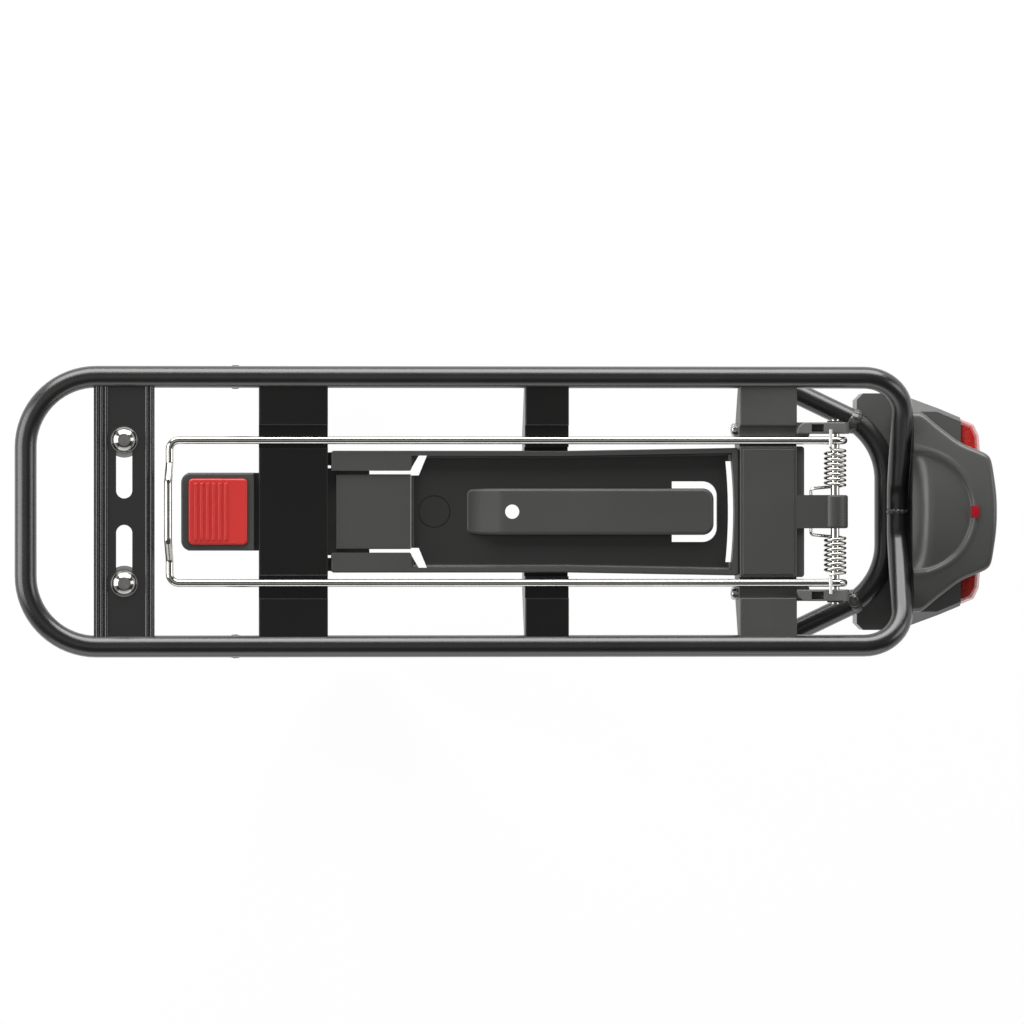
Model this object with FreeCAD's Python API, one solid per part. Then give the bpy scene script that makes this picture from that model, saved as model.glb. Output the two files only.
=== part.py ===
import FreeCAD, Part
import math
import os

# Bicycle rear rack of welded 10 mm aluminium rod, in millimetres.
# It is laid out about the platform: x runs rearward from the front crossbar's centre-line, +Y is the
# rider's right, and z is 0 on the centre plane of the platform's rods. write() then moves every piece
# so that the origin is the middle of the two axle eyelets.

# Driving sizes of the frame.
platform_length = 399.6     # front crossbar to rear crossbar, on the centre-lines
platform_width = 122.2      # side rod to side rod, on the centre-lines
rod_radius = 5.0
front_corner_radius = 32.0
rear_corner_radius = 18.5
axle_drop = 345.0           # platform down to the axle eyelets
axle_x = 160.0              # front crossbar back to the axle eyelets
leg_splay = 0.0218          # outward lean of the legs, mm of y for each mm of height
crossbar_dip = 27.0         # how far the rear crossbar's middle hangs below the platform
crossbar_flat = 11.0        # half of its level middle
crossbar_bend = 15.0
crossbar_end_gap = 1.2      # from the centre plane to each of its two ends
crossbar_loop_gap = 0.5     # between the crossbar's middle and the loop under it
loop_setback = 4.6          # the loop's middle lies this far ahead of the rear crossbar
loop_corner_y = 35.2
loop_bend = 32.0
strut_angle = 25.5          # degrees between a strut and the side rods
loop_joint_setback = 19.3   # crossbar forward to the butt joints between loop and struts
leg_bend = 28.0
front_leg_x = 94.0
leg_end_spread = 7.5        # each leg's lower end, from the axle line in x
leg_end_height = 19.0       # each leg's lower end above the axle
eyelet_thickness = 4.0
eyelet_radius = 9.5
eyelet_top = 27.0           # top edge above the axle
eyelet_top_half = 14.5
eyelet_bore_radius = 3.1
weld_radius = 1.6
crossbar_bead_offset = 0.8  # its centre, rearward of the gap between crossbar and loop
crossbar_bead_half = 9.0

# Cross plates.
plate_top = 2.5             # raised lands, above the rods' centre plane
plate_web = 3.0             # thickness below that plane
groove_inner = 29.1         # the bail's groove, as half-widths
groove_outer = 39.2
groove_floor = 0.0          # above the rods' centre plane
plate_edge = 0.5            # broken edges
front_plate_x = 30.8
front_plate_length = 27.5
plate_bead_radius = 0.8     # drawn along its top, standing nearly half out of it
plate_bead_height = 0.9
front_beads = [1.6, 3.6, 5.7]   # back from its front edge
rear_beads = [1.3, 3.5]         # ahead of its rear edge
slot_width = 7.3
slot_inner = 6.0
slot_outer = 36.6
button_plate_x = 105.5
button_plate_length = 31.3
middle_plate_x = 226.4
middle_plate_length = 19.9
rear_plate_length = 26.1
rear_plate_setback = 49.3   # its rear edge ahead of the rear crossbar
channel_depth = 25.0        # flanges of the middle and rear plates
channel_wall = 2.5
channel_end_depth = 9.0     # the flanges' depth where they meet the side rods
channel_taper_y = 36.0

# Screws that clamp the stays to the front plate.
stay_screw_y = 32.5
stay_screw_radius = 3.0
stay_head_radius = 6.1
stay_dome_radius = 5.7      # at the flange
stay_dome_top = 2.8
stay_head_height = 3.3
stay_flange_height = 0.8
stay_socket_width = 4.0
stay_socket_depth = 2.0
stay_screw_length = 16.0
stay_washer_radius = 8.0
stay_washer_thickness = 1.6
stay_nut_width = 10.0
stay_nut_height = 5.0
fit_gap = 0.05              # radial play of a running fit
part_gap = 0.3              # space between pieces that move past each other

# Adapter tray and its release lever.
tray_front_gap = 1.5        # button plate back to the tray
tray_half_front = 27.7
tray_half_rear = 29.1
tray_flare_x = 246.0
tray_rim_top = 1.5
tray_rim = 2.3
tray_end_wall = 3.2
tray_floor_top = -3.5
tray_bottom = -7.0
tray_edge = 0.7
tray_corner = 1.4
tray_floor_fillet = 1.8     # between the floor and the rim
pad_inner = 18.6
pad_length = 36.2
flap_half = 17.0
flap_top = 0.0
flap_edge = 0.4
flap_front_gap = 3.8        # button plate back to the flap's raised part
neck_half = 19.8
neck_thickness = 3.6
neck_gap = 1.2              # under the button plate
neck_length_behind = 19.0   # how far the wide neck runs on behind the button plate
relief_reach = 7.5          # length of a diagonal slot along x
relief_width = 3.8
relief_end_inset = 2.2      # its outer end, inside the tray's outer face
relief_bite = 0.5           # how far it starts inside the flap's width
hump_front_gap = 25.2       # flap hinge line back to the hump
hump_half = 10.6
hump_ramp = 15.9
hump_top = 0.8
hump_end_gap = 11.4         # the hump's rear end ahead of the tray's
hump_wall = 2.0
hump_corner = 5.0
hump_front_corner = 3.0
hump_crest = 9.0            # rounding where the ramp meets the top
hump_edge = 1.6
hump_hole_radius = 3.25
hump_hole_gap = 20.9        # hump's front end back to the hole
release_slot_side = 3.2
release_slot_end = 1.8
release_slot_length = 20.7
release_slot_corner = 6.5
bow_slot_width = 2.6
bow_slot_half = 23.0
bow_slot_bow = 1.2
mould_ring_gap = 10.8
mould_ring_radius = 7.4
mould_ring_groove = 0.5
mould_ring_depth = 0.3
lug_reach = 7.0             # the tray's front lugs under the button plate
lug_half_inner = 21.0
tray_screw_radius = 2.0
tray_screw_head = 3.6
tray_screw_head_height = 2.4
small_socket_width = 2.5
small_socket_depth = 1.4
tray_screw_y = 24.0
tray_screw_bite = 2.6
lever_front_x = 70.3
lever_half = 17.7
lever_corner = 4.5
lever_top = 1.8
lever_edge = 1.2
lever_end_gap = 2.0         # the lever's button housing ahead of the button plate
pad_margin_front = 3.3
pad_margin_rear = 3.2
pad_half = 15.0
pad_corner = 2.0
pad_recess = 2.4
pad_proud = 1.4
pad_edge = 0.9
pad_ribs = 6
pad_rib_pitch = 2.73
pad_rib_height = 0.5
pad_rib_width = 1.5
pad_rib_edge = 0.4
pad_rib_margin = 2.0        # their ends, in from the pad's sides
pad_rib_gap = 2.6           # pad's front edge to the first rib

# Spring bail, its shaft, springs and holders.
bail_wire = 1.8             # radius
bail_half = 32.4
bail_rest_gap = 0.2         # wire at rest, above the grooves' floor
bail_front_x = 65.1
bail_corner = 4.2
bail_lift_half = 13.0
bail_lift_start = 22.0
bail_lift_height = 5.0
bail_lift_forward = 0.7
bail_lift_bend = 4.0
bail_eye_turn = 262.0       # degrees of wire around the shaft
shaft_radius = 2.0
shaft_setback = 31.5        # shaft ahead of the rear crossbar
ear_inner = 35.5
ear_outer = 40.7
ear_root_inner = 33.8
ear_root_length = 6.0
ear_end_radius = 6.4
ear_top_trim = 1.2          # flat top, below the end's full round
ear_shoulder = 4.6          # rounding of the outer front corner
ear_edge = 0.6
ear_root_depth = 15.0
ear_root_corner = 1.5
ear_root_gap = 0.3          # root's top below the bail's groove
ear_pocket_length = 5.6
ear_pocket_gap = 6.6        # plate back to the pocket
ear_pocket_wall = 0.9
ear_pocket_depth = 4.0
ear_screw_radius = 2.0
ear_screw_y = 37.3
ear_screw_drop = 10.0
ear_screw_head = 3.0
ear_screw_head_height = 3.0
ear_screw_edge = 1.2
clip_radius = 3.6
clip_thickness = 0.7
shaft_end = 0.8             # how far it stands out past the clips
shaft_chamfer = 0.4
spring_radius = 4.5         # to the middle of the wire
spring_wire = 0.75
spring_inner_y = 11.3
spring_outer_y = 28.0
spring_turns = 7
spring_hook_bend = 1.6
spring_inner_hook = 4.2
spring_outer_hook = 4.6
saddle_half = 29.8
saddle_top = 3.2
saddle_skirt = 3.5
saddle_skirt_depth = 12.0
saddle_edge = 0.6
saddle_corner = 1.4
saddle_border = 1.3         # margin round the raised field
saddle_field = 0.5          # its height above the margin
skirt_drop = 1.8            # skirt's top below the cap's margin
tongue_half = 7.6
tongue_thickness = 2.3
knuckle_radius = 5.9
knuckle_edge = 1.0
saddle_screw_y = 18.0

# Tail light.
bracket_thickness = 2.5
bracket_half = 46.0
bracket_corner = 4.0
bracket_top = -34.5
bracket_bottom = -59.0
light_screw_spacing = 80.0
light_screw_radius = 2.5
light_screw_head = 4.5
light_screw_head_height = 3.0
light_screw_socket = 3.0
light_screw_socket_depth = 1.8
light_screw_z = -51.0
light_screw_bite = 6.0
light_half = 54.8
light_wing_reach = 20.0
light_wing_bevel = 3.0
light_side_gap = 8.0        # bracket forward to where the sides turn in
shoulder_slope = 1.9        # fall of the shoulders for each mm outward
light_wing_top = -43.5
light_apron_inner = 22.0    # the wings reach in over the screws as thin aprons
light_apron_outer = 46.0    # where the wings' front edge turns to run under the struts
light_apron_reach = 8.5     # the aprons' inner ends, ahead of the bracket
light_apron_thickness = 2.6
light_bottom = -62.0
light_top = -24.0
light_shoulder_half = 52.5
light_shoulder_gap = 4.0    # bracket back to the shoulder
light_rear_half = 43.4
light_depth = 26.0          # bracket back to the housing's rear edge
light_frame_gap = 0.7       # crossbar back to the light's upper half
light_wall = 2.5
light_front_wall = 8.0
lens_depth = 8.5
lens_seam = 0.8             # step in from the housing's sides
lens_corner = 2.5
lens_taper = 3.2
lens_bend = 8.5
lens_bulge = 1.2
lens_flat_half = 17.5
lens_wall = 2.2
hood_depth = 40.8
hood_top = -7.0
hood_front_half = 46.0
hood_shoulder = 4.0         # straight length beside its front edge
hood_waist_gap = 13.7       # its rear edge forward to the waist
hood_waist_half = 30.4
hood_rear_half = 26.9
hood_corner = 4.8
hood_edge = 2.4
board_thickness = 1.6
board_half = 32.0
board_gap = 3.5
led_count = 6
led_pitch = 10.0
led_size = 3.5
led_height = 1.8
mirror_thickness = 1.5
window_length = 3.6
window_half = 2.75
window_x_gap = 28.6         # bracket back to the window
window_bite = 1.5
window_proud = 0.9
grommet_radius = 5.0
grommet_bore = 2.0
grommet_lip = 6.2
grommet_lip_height = 1.5
grommet_x_gap = 14.0

# Positions that follow from those sizes.
side_y = platform_width / 2
rod_face = side_y - rod_radius
rear_x = platform_length
loop_x = rear_x - loop_setback
rear_plate_x1 = rear_x - rear_plate_setback
rear_plate_x0 = rear_plate_x1 - rear_plate_length
button_plate_x1 = button_plate_x + button_plate_length
tray_x0 = button_plate_x1 + tray_front_gap
tray_x1 = rear_plate_x0 - part_gap
hinge_x = tray_x0 + pad_length
loop_drop = crossbar_dip + 2 * rod_radius + crossbar_loop_gap
bail_height = groove_floor + bail_rest_gap + bail_wire
shaft_x = rear_x - shaft_setback
saddle_margin_top = saddle_top - saddle_field
tongue_bottom = saddle_margin_top - tongue_thickness
eye_radius = shaft_radius + fit_gap + bail_wire
shaft_z = bail_height - eye_radius
bracket_x = loop_x + rod_radius
light_x = bracket_x + bracket_thickness
light_x1 = light_x + light_depth
hood_x = rear_x + rod_radius + light_frame_gap
reach = 200.0               # longer than any cut needs


def at(x, y, z):
    return FreeCAD.Vector(x, y, z)


def block(x0, x1, y0, y1, z0, z1):
    return Part.makeBox(x1 - x0, y1 - y0, z1 - z0, at(x0, y0, z0))


def both_sides(piece):
    """The piece and its mirror image in the rack's middle plane."""
    return [piece, piece.mirror(at(0, 0, 0), at(0, 1, 0))]


def prism(outline, z0, z1):
    """An upright solid over a plan outline of (x, y) points."""
    points = [at(x, y, z0) for x, y in outline]
    return Part.Face(Part.makePolygon(points + points[:1])).extrude(at(0, 0, z1 - z0))


def mirrored_outline(half):
    """Closes an outline given on its +Y side, from front to rear."""
    return half + [(x, -y) for x, y in reversed(half)]


def round_edges(shape, radius, chosen):
    return shape.makeFillet(radius, [edge for edge in shape.Edges if chosen(edge)])


def break_edges(shape, size, chosen):
    return shape.makeChamfer(size, [edge for edge in shape.Edges if chosen(edge)])


def upright(edge):
    box = edge.BoundBox
    return box.XLength < 1e-6 and box.YLength < 1e-6


def level_at(edge, z):
    box = edge.BoundBox
    return abs(box.ZMin - z) < 1e-6 and abs(box.ZMax - z) < 1e-6


def bent_path(points, radii):
    """Straight runs joined by tangent arcs, one radius for each inner point."""
    edges = []
    start = points[0]
    for before, corner, after, radius in zip(points, points[1:], points[2:], radii):
        back = (before - corner).normalize()
        ahead = (after - corner).normalize()
        half = back.getAngle(ahead) / 2
        inward = (back + ahead).normalize()
        enter = corner + back * (radius / math.tan(half))
        leave = corner + ahead * (radius / math.tan(half))
        middle = corner + inward * (radius / math.sin(half) - radius)
        edges.append(Part.LineSegment(start, enter).toShape())
        edges.append(Part.Arc(enter, middle, leave).toShape())
        start = leave
    edges.append(Part.LineSegment(start, points[-1]).toShape())
    return edges


def swept(edges, radius):
    """A round bar along a chain of edges."""
    path = Part.Wire(edges)
    start = edges[0].valueAt(edges[0].FirstParameter)
    along = edges[0].tangentAt(edges[0].FirstParameter)
    section = Part.Wire(Part.makeCircle(radius, start, along))
    return path.makePipeShell([section], True, False)


def cylinder(radius, start, direction, length):
    return Part.makeCylinder(radius, length, start, direction)


def hexagon(across_flats, start, direction, length):
    corner = across_flats / math.sqrt(3)
    turns = [math.radians(60 * i) for i in range(6)]
    points = [at(corner * math.cos(turn), corner * math.sin(turn), 0) for turn in turns]
    solid = Part.Face(Part.makePolygon(points + points[:1])).extrude(at(0, 0, length))
    solid.Placement = FreeCAD.Placement(start, FreeCAD.Rotation(at(0, 0, 1), direction))
    return solid


def write(name, *solids):
    """Moves the piece to the axle's origin and writes it, one solid for each loose piece."""
    whole = []
    for solid in solids:
        for one in solid.Solids:
            moved = one.copy()
            moved.translate(at(-axle_x, 0, axle_drop))
            whole.append(moved)
    shape = whole[0] if len(whole) == 1 else Part.makeCompound(whole)
    shape.exportStep(os.path.join("parts", name + ".step"))


# The frame's rods.

def top_frame():
    """One rod bent round the platform. Its two ends meet in the dipped rear crossbar."""
    half = [
        at(rear_x, crossbar_end_gap, -crossbar_dip),
        at(rear_x, crossbar_flat, -crossbar_dip),
        at(rear_x, side_y, 0),
        at(0, side_y, 0),
    ]
    other = [at(point.x, -point.y, point.z) for point in reversed(half)]
    bends = [crossbar_bend, rear_corner_radius, front_corner_radius]
    return swept(bent_path(half + other, bends + bends[::-1]), rod_radius)


def leg_y(z):
    return side_y - leg_splay * z


def lower_rods():
    """Loop, struts and rear legs as one bent line, before it is parted at the butt joints."""
    turn = math.radians(strut_angle)
    run = (leg_y(-loop_drop) - loop_corner_y) / math.sin(turn)
    knee = at(loop_x - run * math.cos(turn), leg_y(-loop_drop), -loop_drop)
    foot_z = leg_end_height - axle_drop
    half = [
        at(axle_x + leg_end_spread, leg_y(foot_z), foot_z),
        knee,
        at(loop_x, loop_corner_y, -loop_drop),
    ]
    other = [at(point.x, -point.y, point.z) for point in reversed(half)]
    return swept(bent_path(half + other, [leg_bend, loop_bend, loop_bend, leg_bend]), rod_radius)


def front_leg(frame):
    foot_z = leg_end_height - axle_drop
    top = at(front_leg_x, side_y, 0)
    foot = at(axle_x - leg_end_spread, leg_y(foot_z), foot_z)
    bar = cylinder(rod_radius, top, foot - top, (foot - top).Length)
    return bar.cut(frame)


def eyelet():
    """Flat tab between the slotted ends of two legs, with the axle bolt's hole."""
    y = leg_y(-axle_drop)
    outline = [
        (-eyelet_top_half, eyelet_top),
        (eyelet_top_half, eyelet_top),
        (eyelet_radius, 0),
        (-eyelet_radius, 0),
    ]
    back = y - eyelet_thickness / 2
    points = [at(axle_x + x, back, z - axle_drop) for x, z in outline]
    tab = Part.Face(Part.makePolygon(points + points[:1])).extrude(at(0, eyelet_thickness, 0))
    centre = at(axle_x, back, -axle_drop)
    tab = tab.fuse(cylinder(eyelet_radius, centre, at(0, 1, 0), eyelet_thickness))
    bore = cylinder(eyelet_bore_radius, at(axle_x, back - 1, -axle_drop), at(0, 1, 0), eyelet_thickness + 2)
    return tab.cut(bore).removeSplitter()


def weld_ring(centre, direction, around):
    """Bead round a joint between two round bars."""
    ring = Part.makeTorus(rod_radius, weld_radius, centre, direction)
    for solid in around:
        ring = ring.cut(solid)
    return ring


# The cross plates.

def front_plate(frame):
    """Flat extrusion with stiffening beads along both edges and two slots for the stays."""
    x1 = front_plate_x + front_plate_length
    flat_top = plate_top - plate_bead_height
    plate = block(front_plate_x, x1, -side_y, side_y, -plate_web, flat_top)
    plate = break_edges(plate, plate_edge,
                        lambda edge: level_at(edge, flat_top) and edge.BoundBox.YLength > side_y)
    for x in [front_plate_x + gap for gap in front_beads] + [x1 - gap for gap in rear_beads]:
        start = at(x, -side_y, plate_top - plate_bead_radius)
        plate = plate.fuse(cylinder(plate_bead_radius, start, at(0, 1, 0), 2 * side_y))
    radius = slot_width / 2
    centre_x = front_plate_x + front_plate_length / 2
    for side in (-1, 1):
        ends = sorted((side * (slot_inner + radius), side * (slot_outer - radius)))
        slot = block(centre_x - radius, centre_x + radius, ends[0], ends[1], -reach, reach)
        for y in ends:
            slot = slot.fuse(cylinder(radius, at(centre_x, y, -reach), at(0, 0, 1), 2 * reach))
        plate = plate.cut(slot)
    return plate.cut(frame)


def button_plate(frame):
    """Solid extrusion with a groove milled on each side for the bail's wires."""
    x1 = button_plate_x1
    plate = block(button_plate_x, x1, -side_y, side_y, -plate_web, plate_top)
    for groove in both_sides(block(0, reach, groove_inner, groove_outer, 0, reach)):
        plate = plate.cut(groove)
    plate = break_edges(plate, plate_edge, lambda edge: level_at(edge, plate_top))
    for hole in tray_front_screw_lines():
        plate = plate.cut(hole)
    return plate.cut(frame)


def channel(x0, x1, frame):
    """Inverted channel whose lands are raised beside the rods. Its flanges deepen towards the middle."""
    outer = block(x0, x1, -side_y, side_y, -channel_depth, plate_top)
    outer = outer.cut(block(x0, x1, -groove_outer, groove_outer, 0, reach))
    outer = break_edges(outer, plate_edge, lambda edge: level_at(edge, plate_top))
    hollow = block(x0 + channel_wall, x1 - channel_wall, -side_y, side_y, -reach, -plate_web)
    outer = outer.cut(hollow)
    corner = [
        at(x0, rod_face, -channel_end_depth),
        at(x0, channel_taper_y, -channel_depth),
        at(x0, channel_taper_y, -reach),
        at(x0, reach, -reach),
        at(x0, reach, -channel_end_depth),
    ]
    taper = Part.Face(Part.makePolygon(corner + corner[:1])).extrude(at(x1 - x0, 0, 0))
    for cut in both_sides(taper):
        outer = outer.cut(cut)
    return outer.cut(frame)


def middle_plate(frame):
    """Channel with a lowered middle that the tray lies in."""
    x0 = middle_plate_x
    x1 = x0 + middle_plate_length
    seat = tray_half_rear + part_gap
    plate = channel(x0, x1, frame)
    plate = plate.cut(block(x0, x1, -seat, seat, tray_bottom, reach))
    floor = block(x0 + channel_wall, x1 - channel_wall, -seat - channel_wall, seat + channel_wall,
                  tray_bottom - plate_web, tray_bottom)
    wall = block(x0 + channel_wall, x1 - channel_wall, seat, seat + channel_wall, tray_bottom, -plate_web)
    plate = plate.fuse([floor] + both_sides(wall)).removeSplitter()
    for hole in tray_middle_screw_lines():
        plate = plate.cut(hole)
    return plate


def rear_plate(frame):
    """Channel that carries the saddle and the bail's ears."""
    plate = channel(rear_plate_x0, rear_plate_x1, frame)
    for hole in saddle_screw_lines() + ear_screw_lines():
        plate = plate.cut(hole)
    return plate


# Stay screws, one set for each slot.

def stay_screw(side):
    x = front_plate_x + front_plate_length / 2
    y = side * stay_screw_y
    seat = plate_top - plate_bead_height
    head_top = seat + stay_head_height
    screw = cylinder(stay_head_radius, at(x, y, seat), at(0, 0, 1), stay_flange_height)
    # The dome is the band of a sphere between its foot and its flat top.
    rise = stay_head_height - stay_flange_height
    sunk = (stay_dome_radius ** 2 - stay_dome_top ** 2 - rise ** 2) / (2 * rise)
    ball = Part.makeSphere(math.hypot(stay_dome_radius, sunk), at(x, y, seat + stay_flange_height - sunk))
    band = cylinder(stay_head_radius, at(x, y, seat + stay_flange_height), at(0, 0, 1), rise)
    screw = screw.fuse(ball.common(band))
    under = seat - stay_screw_length
    screw = screw.fuse(cylinder(stay_screw_radius, at(x, y, under), at(0, 0, 1), stay_screw_length))
    socket = hexagon(stay_socket_width, at(x, y, head_top - stay_socket_depth), at(0, 0, 1), reach)
    return screw.cut(socket)


def stay_washer(side):
    x = front_plate_x + front_plate_length / 2
    y = side * stay_screw_y
    low = -plate_web - stay_washer_thickness
    ring = cylinder(stay_washer_radius, at(x, y, low), at(0, 0, 1), stay_washer_thickness)
    return ring.cut(cylinder(stay_screw_radius + fit_gap, at(x, y, low), at(0, 0, 1), stay_washer_thickness))


def stay_nut(side):
    x = front_plate_x + front_plate_length / 2
    y = side * stay_screw_y
    low = -plate_web - stay_washer_thickness - stay_nut_height
    nut = hexagon(stay_nut_width, at(x, y, low), at(0, 0, 1), stay_nut_height)
    return nut.cut(cylinder(stay_screw_radius, at(x, y, low), at(0, 0, 1), stay_nut_height))


# Small screws driven along z from below, and the holes that they pass.

def screw_points(x, y):
    return [(x, -y), (x, y)]


def upward_screws(points, head_top, tip):
    """Pan-head screws with the head's bearing face at head_top and the tip at tip."""
    screws = []
    for x, y in points:
        head = cylinder(tray_screw_head, at(x, y, head_top - tray_screw_head_height), at(0, 0, 1),
                        tray_screw_head_height)
        socket = hexagon(small_socket_width, at(x, y, head_top - tray_screw_head_height), at(0, 0, 1),
                         small_socket_depth)
        shank = cylinder(tray_screw_radius, at(x, y, head_top), at(0, 0, 1), tip - head_top)
        screws.append(head.fuse(shank).cut(socket))
    return screws


def screw_lines(points, low, high):
    return [cylinder(tray_screw_radius, at(x, y, low), at(0, 0, 1), high - low) for x, y in points]


def tray_front_points():
    return screw_points(button_plate_x1 - lug_reach / 2, tray_screw_y)


def tray_front_screw_lines():
    return screw_lines(tray_front_points(), tray_bottom, -plate_web + tray_screw_bite)


def tray_middle_points():
    return screw_points(middle_plate_x + middle_plate_length / 2, saddle_screw_y)


def tray_middle_screw_lines():
    return screw_lines(tray_middle_points(), tray_bottom - plate_web, tray_bottom + tray_screw_bite)


def saddle_points():
    return screw_points((rear_plate_x0 + rear_plate_x1) / 2, saddle_screw_y)


def saddle_screw_lines():
    return screw_lines(saddle_points(), -plate_web, tray_screw_bite)


# Adapter tray.

def tray_outline(inset):
    x0 = tray_x0
    x1 = tray_x1 - (tray_end_wall if inset else 0)
    if inset:
        x0 = hinge_x + part_gap
    front = tray_half_front - inset
    rear = tray_half_rear - inset
    return mirrored_outline([(x0, front), (tray_flare_x, front), (x1, rear)])


def relief_slot():
    """Diagonal slot from the flap's corner out towards the rim."""
    outer = tray_half_front - relief_end_inset
    return [
        (hinge_x - part_gap, pad_inner),
        (hinge_x - part_gap, flap_half - relief_bite),
        (hinge_x + relief_width, flap_half - relief_bite),
        (hinge_x + relief_reach, outer),
        (hinge_x + relief_reach - relief_width, outer),
    ]


def adapter_tray():
    tray = prism(tray_outline(0), tray_bottom, tray_rim_top)
    tray = round_edges(tray, tray_corner, upright)
    tray = round_edges(tray, tray_edge, lambda edge: level_at(edge, tray_rim_top))
    basin = prism(tray_outline(tray_rim), tray_floor_top, reach)
    tray = tray.cut(round_edges(basin, tray_floor_fillet, lambda edge: level_at(edge, tray_floor_top)))
    # The pads stand beside the flap. Their lower inner corners clear the lever's wide neck.
    tray = tray.cut(block(0, hinge_x + part_gap, -pad_inner, pad_inner, -reach, reach))
    neck_room = neck_half + 2 * part_gap
    neck_end = button_plate_x1 + neck_length_behind + 4 * part_gap
    tray = tray.cut(block(0, neck_end, -neck_room, neck_room, -reach, -plate_web - part_gap))
    for slot in both_sides(prism(relief_slot(), -reach, reach)):
        tray = tray.cut(slot)
    # Lugs reach under the button plate and are screwed up into it.
    lug = block(button_plate_x1 - lug_reach, tray_x0 + 2, lug_half_inner, tray_half_front - tray_edge,
                tray_bottom, -plate_web)
    tray = tray.fuse(both_sides(lug)).removeSplitter()
    tray = add_hump(tray)
    centre = at(hinge_x + mould_ring_gap, 0, tray_floor_top - mould_ring_depth)
    ring = cylinder(mould_ring_radius, centre, at(0, 0, 1), mould_ring_depth)
    core = cylinder(mould_ring_radius - mould_ring_groove, centre, at(0, 0, 1), mould_ring_depth)
    tray = tray.cut(ring.cut(core))
    for hole in tray_front_screw_lines() + tray_middle_screw_lines():
        tray = tray.cut(hole)
    return tray.cut(bow_slot())


def bow_slot():
    """Slightly bowed slot across the floor, in front of the end wall."""
    x = tray_x1 - tray_end_wall - bow_slot_width
    edges = []
    for offset, side in ((0, 1), (bow_slot_width, -1)):
        ends = [at(x + offset, -side * bow_slot_half, -reach), at(x + offset, side * bow_slot_half, -reach)]
        middle = at(x + offset + bow_slot_bow, 0, -reach)
        edges.append(Part.Arc(ends[0], middle, ends[1]).toShape())
    for y in (-bow_slot_half, bow_slot_half):
        edges.append(Part.LineSegment(at(x, y, -reach), at(x + bow_slot_width, y, -reach)).toShape())
    wire = Part.Wire(Part.__sortEdges__(edges))
    return Part.Face(wire).extrude(at(0, 0, 2 * reach))


def add_hump(tray):
    """Long hollow boss with a ramp at its front, a hole, and a slot round its free end."""
    x0 = hinge_x + hump_front_gap
    x1 = tray_x1 - hump_end_gap
    profile = [
        at(x0, -hump_half, tray_bottom),
        at(x0, -hump_half, tray_floor_top),
        at(x0 + hump_ramp, -hump_half, hump_top),
        at(x1, -hump_half, hump_top),
        at(x1, -hump_half, tray_bottom),
    ]
    hump = Part.Face(Part.makePolygon(profile + profile[:1])).extrude(at(0, 2 * hump_half, 0))
    hump = round_edges(hump, hump_crest, lambda edge: level_at(edge, hump_top)
                       and abs(edge.BoundBox.XMax - x0 - hump_ramp) < 1e-6)
    hump = round_edges(hump, hump_corner, lambda edge: upright(edge) and edge.BoundBox.XMin > x1 - 1)
    hump = round_edges(hump, hump_front_corner, lambda edge: upright(edge) and edge.BoundBox.XMax < x0 + 1)
    hump = round_edges(hump, hump_edge, lambda edge: level_at(edge, hump_top) and edge.BoundBox.XMin > x1 - 1)
    tray = tray.fuse(hump)
    hollow = block(x0 + hump_ramp, x1 - hump_corner, -hump_half + hump_wall, hump_half - hump_wall,
                   -reach, hump_top - hump_wall)
    tray = tray.cut(hollow)
    hole = cylinder(hump_hole_radius, at(x0 + hump_hole_gap, 0, -reach), at(0, 0, 1), 2 * reach)
    tray = tray.cut(hole)
    slot_x1 = x1 + release_slot_end
    slot_x0 = slot_x1 - release_slot_length
    slot_half = hump_half + release_slot_side
    outer = block(slot_x0, slot_x1, -slot_half, slot_half, -reach, reach)
    outer = round_edges(outer, release_slot_corner, lambda edge: upright(edge) and edge.BoundBox.XMin > x1)
    inner = block(slot_x0 - 1, x1, -hump_half, hump_half, -reach, reach)
    inner = round_edges(inner, hump_corner, lambda edge: upright(edge) and edge.BoundBox.XMin > x1 - 1)
    return tray.cut(outer.cut(inner)).removeSplitter()


# Release lever.

def release_lever():
    """Button housing, a neck under the button plate, and the springy flap in the tray."""
    neck_top = -plate_web - neck_gap
    neck_bottom = neck_top - neck_thickness
    house_x1 = button_plate_x - lever_end_gap
    house = block(lever_front_x, house_x1, -lever_half, lever_half, neck_bottom, lever_top)
    house = round_edges(house, lever_corner, lambda edge: upright(edge)
                        and edge.BoundBox.XMax < lever_front_x + 1)
    house = round_edges(house, lever_edge, lambda edge: level_at(edge, lever_top))
    under = block(lever_front_x + 3, house_x1, -lever_half + 2, lever_half - 2, -reach, -pad_recess - 1)
    house = house.cut(under)
    neck = block(lever_front_x + 3, button_plate_x1 + neck_length_behind, -lever_half, lever_half,
                 neck_bottom, neck_top)
    wide = block(button_plate_x + 2, button_plate_x1 + neck_length_behind, -neck_half, neck_half,
                 neck_bottom, neck_top)
    flap_x0 = button_plate_x1 + flap_front_gap
    flap = block(flap_x0, hinge_x, -flap_half, flap_half, tray_bottom, flap_top)
    flap = round_edges(flap, flap_edge, lambda edge: level_at(edge, flap_top))
    lever = house.fuse([neck, wide, flap]).removeSplitter()
    return lever.cut(pad_space(part_gap / 3, pad_recess))


def pad_space(gap, depth):
    """The button's plan shape, grown by a gap, from its seat upwards."""
    x0 = lever_front_x + pad_margin_front - gap
    x1 = button_plate_x - lever_end_gap - pad_margin_rear + gap
    space = block(x0, x1, -pad_half - gap, pad_half + gap, lever_top - depth, lever_top + pad_proud)
    return round_edges(space, pad_corner, upright)


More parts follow.
